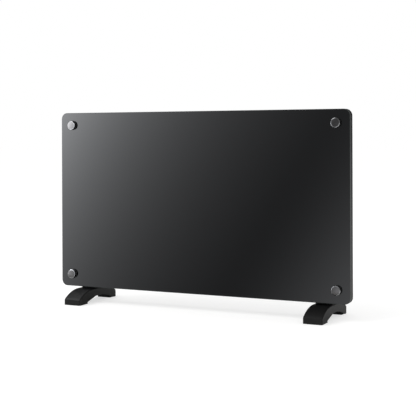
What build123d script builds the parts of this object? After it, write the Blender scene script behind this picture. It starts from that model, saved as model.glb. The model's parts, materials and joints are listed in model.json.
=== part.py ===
# Glass panel convector on two arched feet, in millimetres.
# +X is to the right seen from the front, the glass faces -Y, +Z is up, the floor is Z = 0.
# The origin is on the floor, midway between the feet and midway along them.

import math
import os

from build123d import *

# Glass panel
GLASS_WIDTH = 786.0
GLASS_HEIGHT = 450.0
GLASS_THICKNESS = 5.0
GLASS_CORNER = 16.0
GLASS_BEVEL = 1.0
GLASS_BEVEL_DEPTH = 0.8
GLASS_LIFT = 40.0

# Clamps that hold the glass
CLAMP_INSET_X = 33.5
CLAMP_INSET_Z = 32.0
CAP_DIAMETER = 22.5
CAP_HEIGHT = 8.4
CAP_CHAMFER = 1.8
CAP_BORE_DEPTH = 6.6
WASHER_DIAMETER = 24.5
WASHER_THICKNESS = 1.0
SPACER_DIAMETER = 22.0
SPACER_THICKNESS = 2.0
STUD_DIAMETER = 6.0
COLLAR_WALL = 1.6
NUT_THICKNESS = 5.0
NUT_ACROSS_FLATS = 10.0
STUD_BEYOND_NUT = 1.2

# Sheet-metal pan, rear housing and the louvred cover let into its back
SHEET = 1.2
PAN_DEPTH = 10.0
HOUSING_DEPTH = 62.0
HOUSING_SIDE_INSET = 41.0
HOUSING_WIDTH = GLASS_WIDTH - 2 * HOUSING_SIDE_INSET
HOUSING_CORNER = 14.0
HOUSING_EDGE = 6.0
COVER_INSET = 7.2
COVER_LAP = 4.3
HOUSING_DROP = 30.0
HOUSING_RAISE = 3.0
FLANGE_RECESS = 1.0

# Rear louvres
LOUVRE_WIDTH = 56.0
LOUVRE_HEIGHT = 9.0
LOUVRE_RISE = 4.5
LOUVRE_PITCH_X = 66.0
LOUVRE_PITCH_Z = 17.0
LOUVRE_SIDE = 80.0
LOUVRE_COLUMNS = int((HOUSING_WIDTH - 2 * LOUVRE_SIDE) // LOUVRE_PITCH_X)
LOUVRE_ROWS_LOW = 4
LOUVRE_ROWS_HIGH = 2
LOUVRE_LOW_Z = 70.0
LOUVRE_HIGH_DROP = 24.0

# Wall hanging keyholes
KEYHOLE_SPACING = 500.0
KEYHOLE_DROP = 88.0
KEYHOLE_DIAMETER = 10.0
KEYHOLE_SLOT = 5.0
KEYHOLE_RISE = 9.0

# Grilles
OUTLET_LENGTH = HOUSING_WIDTH - 104.0
OUTLET_DEPTH = 30.0
INLET_LENGTH = HOUSING_WIDTH - 184.0
INLET_DEPTH = 28.0
GRILLE_LIP = 3.0
GRILLE_LIP_THICKNESS = 1.4
GRILLE_SKIRT = 9.0
GRILLE_WALL = 1.6
BLADE_PITCH = 12.5
BLADE_THICKNESS = 1.4
BLADE_TILT = 28.0
INLET_BAR_PITCH = 13.0
INLET_SLOT = 8.0
INLET_SKIRT = 3.0

# Heating elements
ELEMENT_LENGTH = HOUSING_WIDTH - 144.0
ELEMENT_CENTRE_X = -20.0
ELEMENT_LOW_Z = 118.0
ELEMENT_SPACING = 66.0
ELEMENT_HEIGHT = 48.0
ELEMENT_DEPTH = 34.0
VANE_THICKNESS = 2.2
HUB_DIAMETER = 15.0
FIN_PITCH = 17.0
FIN_GAP = 5.0
ROD_DIAMETER = 8.0
ROD_OVERHANG = 26.0
TERMINAL_DIAMETER = 4.0
TERMINAL_LENGTH = 12.0

# Element bushes and brackets
BUSH_DIAMETER = 14.0
BUSH_FLANGE_DIAMETER = 19.0
BUSH_FLANGE_THICKNESS = 2.5
BUSH_LENGTH = 9.0
BRACKET_GAP = 7.0
BRACKET_MARGIN = 26.0
BRACKET_FLANGE = 13.0
BRACKET_FRONT_GAP = 6.0

# Heat shield behind the glass
SHIELD_WIDTH = HOUSING_WIDTH - 64.0
SHIELD_HEIGHT = GLASS_HEIGHT - 150.0
SHIELD_STANDOFF = 5.0
SHIELD_LIP = 12.0
SHIELD_THICKNESS = 0.8
SHIELD_LOW_Z = 80.0

# Partition between the hot chamber and the controls
PARTITION_X = HOUSING_WIDTH / 2 - 52.0
PARTITION_MARGIN = 12.0
PARTITION_HOLE = 9.0

# Control panel on the housing's right-hand cheek
PANEL_WIDTH = 33.0
PANEL_LENGTH = 132.0
PANEL_THICKNESS = 2.6
PANEL_CORNER = 6.0
PANEL_TOP_DROP = 20.0
PANEL_WINDOW_WIDTH = 24.0
PANEL_WINDOW_MARGIN = 11.0
PANEL_SCREW_INSET = 5.5
PANEL_LIP_WALL = 1.2
PANEL_SCREW_REACH = 6.0
CHEEK_CUT = 9.0
KNOB_DIAMETER = 29.0
KNOB_HEIGHT = 13.0
KNOB_SKIRT = 3.0
KNOB_GRIP_WIDTH = 9.0
KNOB_DRUM_INSET = 3.0
KNOB_DRUM_SHARE = 0.6
KNOB_CROWN = 3.0
KNOB_ROUND = 1.2
KNOB_FROM_TOP = 29.0
PILOT_FROM_KNOB = 26.0
PILOT_DIAMETER = 7.0
PILOT_LENS_HEIGHT = 2.2
PILOT_LENS_ROUND = 1.8
PILOT_HOLDER_DEPTH = 12.0
ROCKER_FROM_PILOT = 20.0
ROCKER_SPACING = 26.0
ROCKER_FRAME_LENGTH = 21.0
ROCKER_FRAME_WIDTH = 15.0
ROCKER_FRAME_THICKNESS = 2.0
ROCKER_BODY_LENGTH = 19.2
ROCKER_BODY_WIDTH = 12.6
ROCKER_BODY_DEPTH = 14.0
ROCKER_WALL = 1.1
ROCKER_TILT = 8.0
ROCKER_PIN = 2.4
ROCKER_FLOOR = 5.0
ROCKER_END_GAP = 0.9
ROCKER_PIN_WALL = 0.3
ROCKER_CROWN = 4.0
ROCKER_DIP = 1.5
ROCKER_ROOT_DEPTH = 4.0
ROCKER_ROOT_HALF = 6.0
TAB_LENGTH = 7.0
TAB_WIDTH = 4.8
TAB_SPACING = 10.0
THERMOSTAT_WIDTH = 20.0
THERMOSTAT_LENGTH = 28.0
THERMOSTAT_DEPTH = 19.0
THERMOSTAT_BUSH_DIAMETER = 10.0
THERMOSTAT_BUSH_LENGTH = 1.6
SPINDLE_DIAMETER = 6.0
SPINDLE_COLLAR = 8.4
SPINDLE_DEPTH = 8.0
SPINDLE_POCKET = 4.0
SPINDLE_END_GAP = 0.5

# Cord inlet
INLET_BUSH_Z = 74.0
INLET_BUSH_FLANGE = 18.0
INLET_BUSH_BARREL = 12.0
INLET_BUSH_BORE = 7.5
INLET_BUSH_RIM = 2.6
INLET_BUSH_SNAP = 1.5

# Inner electrical pieces
TERMINAL_BLOCK_X = HOUSING_WIDTH / 2 - 25.2
TERMINAL_BLOCK_Z = 104.0
TERMINAL_WAYS = 3
TERMINAL_WAY_WIDTH = 8.6
TERMINAL_DEPTH = 15.0
TERMINAL_HEIGHT = 18.0
TERMINAL_WIRE_DEPTH = 6.0
TERMINAL_WIRE_HOLE = 4.0
TERMINAL_SCREW_HOLE = 3.6
TERMINAL_GROOVE_WIDTH = 1.2
TERMINAL_GROOVE_DEPTH = 4.0
TIP_SWITCH_X = HOUSING_WIDTH / 2 - 28.0
TIP_SWITCH_Z = 176.0
TIP_CASE_WIDTH = 16.0
TIP_CASE_DEPTH = 34.0
TIP_CASE_HEIGHT = 42.0
TIP_CASE_WALL = 1.8
TIP_CASE_CORNER = 2.5
TIP_PIVOT_DROP = 6.0
TIP_SIDE_GAP = 1.0
TIP_ARM_WIDTH = 3.0
TIP_HUB_WALL = 1.7
TIP_ARM = 20.0
TIP_WEIGHT_DIAMETER = 13.0
TIP_PIN_DIAMETER = 3.0
CUTOUT_DIAMETER = 16.0
CUTOUT_Z = 262.0
CUTOUT_CUP = 4.0
CUTOUT_BODY = 9.0
CUTOUT_STEP = 3.0
CUTOUT_TAB_LENGTH = 8.0
CUTOUT_TAB_WIDTH = 6.0
CUTOUT_TAB_OFFSET = 4.0
TAB_THICKNESS = 0.8

# Feet
FOOT_LENGTH = 181.5
FOOT_TOE = 61.5
FOOT_WIDTH = 47.0
FOOT_HEIGHT = 35.0
FOOT_SPACING = HOUSING_WIDTH - 59.4
FOOT_END_HEIGHT = 14.0
FOOT_BEVEL = 3.2
FOOT_TOP_FLAT = 58.0
FOOT_WALL = 3.0
FOOT_ARCH_HEIGHT = 15.5
FOOT_ARCH_FLAT = 30.0
FOOT_FRONT_STANCE = 36.5
FOOT_REAR_STANCE = 18.0
FOOT_STEP = 5.0
FOOT_EDGE = 1.6
FOOT_RIB = 2.4
PAD_PROUD = 0.8
PAD_INSET = 4.2
PAD_THICKNESS = 5.0
PAD_FRONT_LENGTH = 32.0
PAD_REAR_LENGTH = 26.0
FOOT_SCREW_SPACING = 24.0
FOOT_SCREW_DIAMETER = 5.0
FOOT_SCREW_HEAD = 9.0
FOOT_SCREW_HEAD_HEIGHT = 4.0
FOOT_BOSS = 13.0
FOOT_ROOF = 3.0
FOOT_PAD_WALL = 2.0
FOOT_REAR_ROUND = 8.0
NECK_CORNER = 4.0
PAD_CORNER = 3.0
NUT_PLATE_THICKNESS = 3.0
NUT_PLATE_WIDTH = 24.0
SCREW_END = 1.5

# Self-tapping screws and the posts they bite into
SCREW_DIAMETER = 3.5
SCREW_HEAD_DIAMETER = 7.0
SCREW_HEAD_HEIGHT = 2.2
POST_ACROSS_FLATS = 8.0
POST_INSET_X = 17.0

# Clearances
LOOSE = 0.4
FIT = 0.15
RUNNING = 0.1

# Places worked out from the sizes above, front to back
GLASS_FRONT = -FOOT_LENGTH / 2 + FOOT_TOE
GLASS_BACK = GLASS_FRONT + GLASS_THICKNESS
PAN_FRONT = GLASS_BACK + SPACER_THICKNESS
PAN_INSIDE = PAN_FRONT + SHEET
PAN_RIM_BACK = PAN_FRONT + PAN_DEPTH
FLANGE_BACK = PAN_RIM_BACK - FLANGE_RECESS
FLANGE_FRONT = FLANGE_BACK - SHEET
HOUSING_BACK = GLASS_FRONT + HOUSING_DEPTH
HOUSING_INSIDE = HOUSING_BACK - SHEET

# Bottom to top, and the housing's cheek
GLASS_MIDDLE_Z = GLASS_LIFT + GLASS_HEIGHT / 2
HOUSING_BOTTOM = GLASS_LIFT + HOUSING_RAISE
HOUSING_TOP = GLASS_LIFT + GLASS_HEIGHT - HOUSING_DROP
HOUSING_HEIGHT = HOUSING_TOP - HOUSING_BOTTOM
HOUSING_MIDDLE_Z = (HOUSING_TOP + HOUSING_BOTTOM) / 2
VENT_Y = (PAN_RIM_BACK + HOUSING_BACK) / 2
CHEEK_X = HOUSING_WIDTH / 2
SEAM_X = CHEEK_X - HOUSING_CORNER
CHEEK_Y = (FLANGE_BACK + HOUSING_BACK - HOUSING_EDGE) / 2
PANEL_TOP = HOUSING_TOP - PANEL_TOP_DROP
PANEL_BOTTOM = PANEL_TOP - PANEL_LENGTH
PANEL_FACE_X = CHEEK_X + PANEL_THICKNESS
KNOB_Z = PANEL_TOP - KNOB_FROM_TOP
PILOT_Z = KNOB_Z - PILOT_FROM_KNOB
ROCKER_Z = [PILOT_Z - ROCKER_FROM_PILOT, PILOT_Z - ROCKER_FROM_PILOT - ROCKER_SPACING]
ROCKER_PIVOT_X = PANEL_FACE_X - ROCKER_FRAME_THICKNESS / 2

# Elements
SHIELD_BACK = PAN_INSIDE + SHIELD_STANDOFF + SHIELD_THICKNESS
ELEMENT_Y = (SHIELD_BACK + HOUSING_INSIDE) / 2
ELEMENT_Z = [ELEMENT_LOW_Z, ELEMENT_LOW_Z + ELEMENT_SPACING]
ELEMENT_ENDS = [ELEMENT_CENTRE_X - ELEMENT_LENGTH / 2, ELEMENT_CENTRE_X + ELEMENT_LENGTH / 2]

# Feet
FOOT_X = [-FOOT_SPACING / 2, FOOT_SPACING / 2]
NECK_FRONT = PAN_RIM_BACK + LOOSE
NECK_BACK = HOUSING_BACK - HOUSING_EDGE
NECK_Y = (NECK_FRONT + NECK_BACK) / 2
FOOT_SCREW_Y = [NECK_Y - FOOT_SCREW_SPACING / 2, NECK_Y + FOOT_SCREW_SPACING / 2]
FOOT_SCREW_SEAT = FOOT_HEIGHT - FOOT_WALL - 6.0


def block(x0, x1, y0, y1, z0, z1):
    """A plain block between two corners."""
    return Pos((x0 + x1) / 2, (y0 + y1) / 2, (z0 + z1) / 2) * Box(x1 - x0, y1 - y0, z1 - z0)


def slab(outline, y_front, y_back):
    """An outline drawn in X and Z, carried from y_front back to y_back."""
    plane = Plane(origin=(0, y_back, 0), x_dir=(1, 0, 0), z_dir=(0, -1, 0))
    return extrude(plane * outline, amount=y_back - y_front, dir=(0, -1, 0))


def run(outline, x0, x1):
    """An outline drawn in Y and Z, carried along X from x0 to x1."""
    plane = Plane(origin=(x0, 0, 0), x_dir=(0, 1, 0), z_dir=(1, 0, 0))
    return extrude(plane * outline, amount=x1 - x0, dir=(1, 0, 0))


def rod_x(x0, x1, y, z, diameter):
    """A round bar along X."""
    return run(Pos(y, z) * Circle(diameter / 2), x0, x1)


def rod_y(y0, y1, x, z, diameter):
    """A round bar along Y."""
    return slab(Pos(x, z) * Circle(diameter / 2), y0, y1)


def rod_z(z0, z1, x, y, diameter):
    """A round bar along Z."""
    return Pos(x, y, z0) * extrude(Circle(diameter / 2), amount=z1 - z0)


def clamp_places():
    """The four glass holes, as X and Z."""
    x = GLASS_WIDTH / 2 - CLAMP_INSET_X
    low = GLASS_LIFT + CLAMP_INSET_Z
    high = GLASS_LIFT + GLASS_HEIGHT - CLAMP_INSET_Z
    return [(-x, low), (x, low), (-x, high), (x, high)]


def post_places():
    """The housing screws in the flange, as X and Z: three a side and two along the top."""
    x = GLASS_WIDTH / 2 - POST_INSET_X
    step = GLASS_HEIGHT / 4
    sides = [(s * x, GLASS_MIDDLE_Z + k * step) for s in (-1, 1) for k in (-1, 0, 1)]
    top = GLASS_LIFT + GLASS_HEIGHT - HOUSING_DROP / 2
    return sides + [(-GLASS_WIDTH / 4, top), (GLASS_WIDTH / 4, top)]


def glass_outline(inset=0.0):
    """The glass's rounded rectangle, drawn in X and Z and shrunk by inset."""
    width = GLASS_WIDTH - 2 * inset
    height = GLASS_HEIGHT - 2 * inset
    return Pos(0, GLASS_MIDDLE_Z) * RectangleRounded(width, height, GLASS_CORNER - inset)


def front_glass():
    """Tempered sheet with a polished bevel round its front face and four clamp holes."""
    sheet = slab(glass_outline(), GLASS_FRONT, GLASS_BACK)
    front_edges = sheet.faces().sort_by(Axis.Y)[0].edges()
    sheet = chamfer(front_edges, GLASS_BEVEL_DEPTH, GLASS_BEVEL)
    hole = STUD_DIAMETER + 2 * COLLAR_WALL + 2 * LOOSE
    for x, z in clamp_places():
        sheet -= rod_y(GLASS_FRONT - 1, GLASS_BACK + 1, x, z, hole)
    return sheet


def glass_cap(x, z):
    """A turned cap: chamfered rim, shallow dished face and a blind bore for the stud."""
    back = GLASS_FRONT - WASHER_THICKNESS
    front = back - CAP_HEIGHT
    cap = rod_y(front, back, x, z, CAP_DIAMETER)
    cap = chamfer(cap.faces().sort_by(Axis.Y)[0].edges(), CAP_CHAMFER)
    return cap - rod_y(back - CAP_BORE_DEPTH, back + 1, x, z, STUD_DIAMETER + 2 * FIT)


def cap_washer(x, z):
    """The soft washer between cap and glass."""
    ring = rod_y(GLASS_FRONT - WASHER_THICKNESS, GLASS_FRONT, x, z, WASHER_DIAMETER)
    return ring - rod_y(GLASS_FRONT - 9, GLASS_FRONT + 9, x, z, STUD_DIAMETER + 2 * FIT)


def glass_spacer(x, z):
    """Spacer between glass and pan, with a collar that lines the hole in the glass."""
    ring = rod_y(GLASS_BACK, PAN_FRONT, x, z, SPACER_DIAMETER)
    collar = rod_y(GLASS_FRONT + LOOSE, PAN_FRONT, x, z, STUD_DIAMETER + 2 * COLLAR_WALL)
    bore = rod_y(GLASS_FRONT - 9, PAN_FRONT + 9, x, z, STUD_DIAMETER + 2 * FIT)
    return ring + collar - bore


def stud_span():
    """Front and back ends of a glass stud."""
    front = GLASS_FRONT - WASHER_THICKNESS - CAP_BORE_DEPTH + LOOSE
    return front, PAN_INSIDE + NUT_THICKNESS + STUD_BEYOND_NUT


def glass_stud(x, z):
    """Threaded stud from the cap, through glass and pan, to its nut."""
    front, back = stud_span()
    stud = rod_y(front, back, x, z, STUD_DIAMETER)
    return chamfer(stud.faces().sort_by(Axis.Y)[-1].edges(), STUD_DIAMETER / 10)


def stud_nut(x, z):
    """Hexagon nut behind the pan."""
    hexagon = Pos(x, z) * RegularPolygon(NUT_ACROSS_FLATS / 2, 6, major_radius=False)
    nut = slab(hexagon, PAN_INSIDE, PAN_INSIDE + NUT_THICKNESS)
    return nut - rod_y(PAN_INSIDE - 1, PAN_INSIDE + 9, x, z, STUD_DIAMETER + 2 * FIT)


def front_pan():
    """Pressed tray behind the glass, with its rim turned back all round."""
    tray = slab(glass_outline(), PAN_FRONT, PAN_RIM_BACK)
    tray -= slab(glass_outline(SHEET), PAN_INSIDE, PAN_RIM_BACK + 1)
    for x, z in clamp_places():
        tray -= rod_y(PAN_FRONT - 1, PAN_INSIDE + 1, x, z, STUD_DIAMETER + 2 * LOOSE)
    for x, z in post_places():
        tray -= rod_y(PAN_FRONT - 1, PAN_INSIDE + 1, x, z, SCREW_DIAMETER)
    return tray


def pan_post(x, z):
    """Hexagon post that a housing screw bites into."""
    hexagon = Pos(x, z) * RegularPolygon(POST_ACROSS_FLATS / 2, 6, major_radius=False)
    post = slab(hexagon, PAN_INSIDE, FLANGE_FRONT)
    return post - rod_y(PAN_INSIDE - 1, FLANGE_FRONT + 1, x, z, SCREW_DIAMETER + 2 * FIT)


def screw_y(x, z, seat, length):
    """Pan head self-tapping screw driven towards the front from a seat facing +Y."""
    head = rod_y(seat, seat + SCREW_HEAD_HEIGHT, x, z, SCREW_HEAD_DIAMETER)
    head = chamfer(head.faces().sort_by(Axis.Y)[-1].edges(), SCREW_HEAD_HEIGHT / 3)
    return head + rod_y(seat - length, seat, x, z, SCREW_DIAMETER)


def louvre_places():
    """Lower left corners of the louvres on the rear face, as X and Z."""
    columns = range(LOUVRE_COLUMNS)
    lefts = [(k - (LOUVRE_COLUMNS - 1) / 2) * LOUVRE_PITCH_X + ELEMENT_CENTRE_X for k in columns]
    low = [LOUVRE_LOW_Z + k * LOUVRE_PITCH_Z for k in range(LOUVRE_ROWS_LOW)]
    top = HOUSING_TOP - LOUVRE_HIGH_DROP - LOUVRE_HEIGHT
    high = [top - k * LOUVRE_PITCH_Z for k in range(LOUVRE_ROWS_HIGH)]
    return [(x, z) for x in lefts for z in low + high]


def louvre_hood(x, z):
    """Pressed hood of one louvre: it slopes out downwards, closed at its ends, open below."""
    top = z + LOUVRE_HEIGHT
    slope = Polygon((HOUSING_BACK, top), (HOUSING_BACK, z), (HOUSING_BACK + LOUVRE_RISE, z), align=None)
    return run(slope, x - LOUVRE_WIDTH / 2, x + LOUVRE_WIDTH / 2)


def louvre_throat(x, z):
    """The air way through one louvre."""
    top = z + LOUVRE_HEIGHT - 2 * SHEET
    lip = HOUSING_BACK + LOUVRE_RISE - 1.5 * SHEET
    way = Polygon(
        (HOUSING_INSIDE - 1, top),
        (HOUSING_INSIDE - 1, z),
        (HOUSING_INSIDE - 1, z - 1),
        (HOUSING_BACK + SHEET / 2, z - 1),
        (lip, z - 1),
        (lip, z),
        (HOUSING_BACK, top),
        align=None,
    )
    mouth = run(way, x - LOUVRE_WIDTH / 2 + SHEET, x + LOUVRE_WIDTH / 2 - SHEET)
    keep = block(x - LOUVRE_WIDTH, x + LOUVRE_WIDTH, HOUSING_INSIDE - 2, HOUSING_BACK, z - 2, z)
    return mouth - keep


def keyhole(x):
    """Round entry with a narrow slot above it, cut through the rear face."""
    z = HOUSING_TOP - KEYHOLE_DROP
    entry = rod_y(HOUSING_INSIDE - 1, HOUSING_BACK + 1, x, z, KEYHOLE_DIAMETER)
    slot = slab(
        Pos(x, z + KEYHOLE_RISE / 2) * Rectangle(KEYHOLE_SLOT, KEYHOLE_RISE),
        HOUSING_INSIDE - 1,
        HOUSING_BACK + 1,
    )
    end = rod_y(HOUSING_INSIDE - 1, HOUSING_BACK + 1, x, z + KEYHOLE_RISE, KEYHOLE_SLOT)
    return entry + slot + end


def bracket_screw_places():
    """Screws through the rear face into the element brackets and the partition, as X and Z."""
    places = []
    for side, end in ((-1, ELEMENT_ENDS[0]), (1, ELEMENT_ENDS[1])):
        x = end + side * (BRACKET_GAP + BRACKET_FLANGE / 2)
        places += [(x, ELEMENT_Z[0]), (x, ELEMENT_Z[1])]
    x = PARTITION_X + BRACKET_FLANGE / 2
    places += [(x, HOUSING_MIDDLE_Z - HOUSING_HEIGHT / 5), (x, HOUSING_MIDDLE_Z + HOUSING_HEIGHT / 5)]
    return places


def back_outline(inset):
    """Rounded rectangle of the housing seen from behind, shrunk by inset."""
    width = HOUSING_WIDTH - 2 * inset
    height = HOUSING_HEIGHT - 2 * inset
    return Pos(0, HOUSING_MIDDLE_Z) * RectangleRounded(width, height, HOUSING_CORNER - inset)


def housing_box(inset, y_front, y_back):
    """The housing's rounded box, shrunk by inset, with its rear edge rounded."""
    body = slab(back_outline(inset), y_front, y_back)
    return fillet(body.faces().sort_by(Axis.Y)[-1].edges(), HOUSING_EDGE - inset)


def housing_shell():
    """Pressed rear shell: flange, deep walls, rounded rear edge with a ledge for the cover, cut-outs."""
    shell = housing_box(0, FLANGE_FRONT, HOUSING_BACK)
    shell += slab(glass_outline(SHEET + LOOSE), FLANGE_FRONT, FLANGE_BACK)
    shell -= housing_box(SHEET, FLANGE_FRONT - 1, HOUSING_INSIDE)
    shell -= slab(back_outline(COVER_INSET), HOUSING_INSIDE - 1, HOUSING_BACK + 1)
    ledge = slab(back_outline(SHEET), HOUSING_INSIDE - SHEET, HOUSING_INSIDE)
    ledge -= slab(back_outline(COVER_INSET + COVER_LAP), HOUSING_INSIDE - 2 * SHEET, HOUSING_BACK)
    shell += ledge
    hole = SCREW_DIAMETER + 2 * LOOSE
    cuts = [rod_y(FLANGE_FRONT - 1, FLANGE_BACK + 1, x, z, hole) for x, z in post_places()]
    cuts.append(vent_hole(OUTLET_LENGTH, OUTLET_DEPTH, HOUSING_TOP))
    cuts.append(vent_hole(INLET_LENGTH, INLET_DEPTH, HOUSING_BOTTOM))
    cuts.append(cheek_window())
    cuts += [rod_x(CHEEK_X - 9, CHEEK_X + 9, CHEEK_Y, z, SCREW_DIAMETER) for z in panel_screw_z()]
    cuts.append(rod_x(CHEEK_X - 9, CHEEK_X + 9, CHEEK_Y, INLET_BUSH_Z, INLET_BUSH_BARREL + 2 * FIT))
    foot_hole = FOOT_SCREW_DIAMETER + 2 * LOOSE
    for x in FOOT_X:
        cuts += [rod_z(HOUSING_BOTTOM - 1, HOUSING_BOTTOM + 9, x, y, foot_hole) for y in FOOT_SCREW_Y]
    return shell - cuts


def rear_housing():
    """The shell up to the seam beside its right-hand corners."""
    left_part = block(-GLASS_WIDTH, SEAM_X, FLANGE_FRONT - 1, HOUSING_BACK + 1, 0, 2 * HOUSING_TOP)
    return housing_shell() & left_part


def housing_end():
    """The shell's right-hand end past the seam, with the controls' window and the cord's hole."""
    right_part = block(SEAM_X, GLASS_WIDTH, FLANGE_FRONT - 1, HOUSING_BACK + 1, 0, 2 * HOUSING_TOP)
    return housing_shell() & right_part


def rear_cover():
    """Flat cover on the housing's ledge: louvres, keyholes and the holes for the brackets' screws."""
    plate = slab(back_outline(COVER_INSET + LOOSE), HOUSING_INSIDE, HOUSING_BACK)
    plate += [louvre_hood(x, z) for x, z in louvre_places()]
    cuts = [louvre_throat(x, z) for x, z in louvre_places()]
    cuts += [keyhole(s * KEYHOLE_SPACING / 2) for s in (-1, 1)]
    hole = SCREW_DIAMETER + 2 * LOOSE
    cuts += [rod_y(HOUSING_INSIDE - 1, HOUSING_BACK + 1, x, z, hole) for x, z in bracket_screw_places()]
    return plate - cuts


def vent_hole(length, depth, z):
    """Slot through the housing's top or bottom wall for a grille's skirt."""
    half_y = depth / 2 + LOOSE
    half_x = length / 2 + LOOSE
    return block(-half_x, half_x, VENT_Y - half_y, VENT_Y + half_y, z - 2 * SHEET, z + 2 * SHEET)


def outlet_grille():
    """Top grille: lip, skirt and slanted blades across the warm air's way out."""
    half_x = OUTLET_LENGTH / 2
    half_y = OUTLET_DEPTH / 2
    lip = GRILLE_LIP
    top = HOUSING_TOP + GRILLE_LIP_THICKNESS
    bottom = HOUSING_TOP - GRILLE_SKIRT
    reach_x = half_x + lip
    reach_y = half_y + lip
    rim = block(-reach_x, reach_x, VENT_Y - reach_y, VENT_Y + reach_y, HOUSING_TOP, top)
    rim = chamfer(rim.faces().sort_by(Axis.Z)[-1].edges(), GRILLE_LIP_THICKNESS / 2)
    frame = rim + block(-half_x, half_x, VENT_Y - half_y, VENT_Y + half_y, bottom, HOUSING_TOP)
    wall = GRILLE_WALL
    clear_x = half_x - wall
    clear_y = half_y - wall
    frame -= block(-clear_x, clear_x, VENT_Y - clear_y, VENT_Y + clear_y, 0, 2 * top)
    count = int((OUTLET_LENGTH - 4 * wall - GRILLE_SKIRT) // BLADE_PITCH)
    blade = Rot(0, BLADE_TILT, 0) * Box(BLADE_THICKNESS, OUTLET_DEPTH - wall, GRILLE_SKIRT)
    middle = HOUSING_TOP - GRILLE_SKIRT / 2 + GRILLE_LIP_THICKNESS / 4
    blades = [Pos((k - (count - 1) / 2) * BLADE_PITCH, VENT_Y, middle) * blade for k in range(count)]
    return frame + blades


def inlet_grille():
    """Bottom grille: a lipped plate with slots between the feet."""
    half_x = INLET_LENGTH / 2
    half_y = INLET_DEPTH / 2
    lip = GRILLE_LIP
    bottom = HOUSING_BOTTOM - GRILLE_LIP_THICKNESS
    reach_x = half_x + lip
    reach_y = half_y + lip
    rim = block(-reach_x, reach_x, VENT_Y - reach_y, VENT_Y + reach_y, bottom, HOUSING_BOTTOM)
    top = HOUSING_BOTTOM + INLET_SKIRT
    plate = rim + block(-half_x, half_x, VENT_Y - half_y, VENT_Y + half_y, HOUSING_BOTTOM, top)
    count = int((INLET_LENGTH - 2 * GRILLE_WALL) // INLET_BAR_PITCH)
    slot = Box(INLET_SLOT, INLET_DEPTH - 4 * GRILLE_WALL, 20)
    places = [(k - (count - 1) / 2) * INLET_BAR_PITCH for k in range(count)]
    return plate - [Pos(x, VENT_Y, HOUSING_BOTTOM) * slot for x in places]


def vane_angle():
    """Angle of the element's vanes from the vertical."""
    return math.degrees(math.atan2(ELEMENT_DEPTH, ELEMENT_HEIGHT))


def element_outline():
    """X-shaped section of an element about its own centre: hub, four vanes, turned tips."""
    length = math.hypot(ELEMENT_HEIGHT, ELEMENT_DEPTH) / 2 - VANE_THICKNESS
    section = Circle(HUB_DIAMETER / 2)
    for turn in (vane_angle(), -vane_angle(), 180 + vane_angle(), 180 - vane_angle()):
        vane = Pos(0, length / 2) * Rectangle(VANE_THICKNESS, length)
        tip = Pos(0, length) * Circle(VANE_THICKNESS)
        section += Rot(0, 0, turn) * (vane + tip)
    return section - Circle(ROD_DIAMETER / 2 + FIT)


def element_body(z):
    """Finned aluminium body of one heating element, its vanes slit into fins."""
    body = run(Pos(ELEMENT_Y, z) * element_outline(), *ELEMENT_ENDS)
    count = int((ELEMENT_LENGTH - 2 * FIN_PITCH) // FIN_PITCH)
    around = Rectangle(2 * ELEMENT_DEPTH, 2 * ELEMENT_HEIGHT) - Circle(HUB_DIAMETER / 2 + VANE_THICKNESS)
    cuts = []
    for k in range(count):
        x = ELEMENT_CENTRE_X + (k - (count - 1) / 2) * FIN_PITCH
        cuts.append(run(Pos(ELEMENT_Y, z) * around, x - FIN_GAP / 2, x + FIN_GAP / 2))
    return body - cuts


def element_rod(z):
    """Sheathed heating rod through an element, with a terminal pin at each end."""
    x0 = ELEMENT_ENDS[0] - ROD_OVERHANG
    x1 = ELEMENT_ENDS[1] + ROD_OVERHANG
    rod = rod_x(x0, x1, ELEMENT_Y, z, ROD_DIAMETER)
    return rod + rod_x(x0 - TERMINAL_LENGTH, x1 + TERMINAL_LENGTH, ELEMENT_Y, z, TERMINAL_DIAMETER)


def bracket_plate_x(side):
    """Inner and outer X of the upright sheet of the bracket on that side."""
    inner = ELEMENT_ENDS[0 if side < 0 else 1] + side * BRACKET_GAP
    return sorted((inner, inner + side * SHEET))


def element_bush(side, z):
    """Flanged ceramic bush that carries a rod's end in its bracket."""
    inner, outer = bracket_plate_x(side)
    seat = inner if side > 0 else outer
    flange = sorted((seat - side * BUSH_FLANGE_THICKNESS, seat))
    barrel = sorted((seat, seat + side * BUSH_LENGTH))
    bush = rod_x(*flange, ELEMENT_Y, z, BUSH_FLANGE_DIAMETER)
    bush += rod_x(*barrel, ELEMENT_Y, z, BUSH_DIAMETER)
    return bush - rod_x(flange[0] - 19, flange[1] + 19, ELEMENT_Y, z, ROD_DIAMETER + 2 * FIT)


def upright_sheet(x0, x1, z0, z1, flange_side):
    """Sheet standing off the rear wall, with its edge folded along the wall and rounded corners."""
    front = SHIELD_BACK + BRACKET_FRONT_GAP
    middle = ((front + HOUSING_INSIDE) / 2, (z0 + z1) / 2)
    web = RectangleRounded(HOUSING_INSIDE - front, z1 - z0, 4.0)
    web += Pos((HOUSING_INSIDE - front) / 4) * Rectangle((HOUSING_INSIDE - front) / 2, z1 - z0)
    sheet = run(Pos(*middle) * web, x0, x1)
    fold = x0 if flange_side > 0 else x1
    edge = sorted((fold, fold + flange_side * BRACKET_FLANGE))
    return sheet + block(*edge, HOUSING_INSIDE - SHEET, HOUSING_INSIDE, z0, z1)


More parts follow.
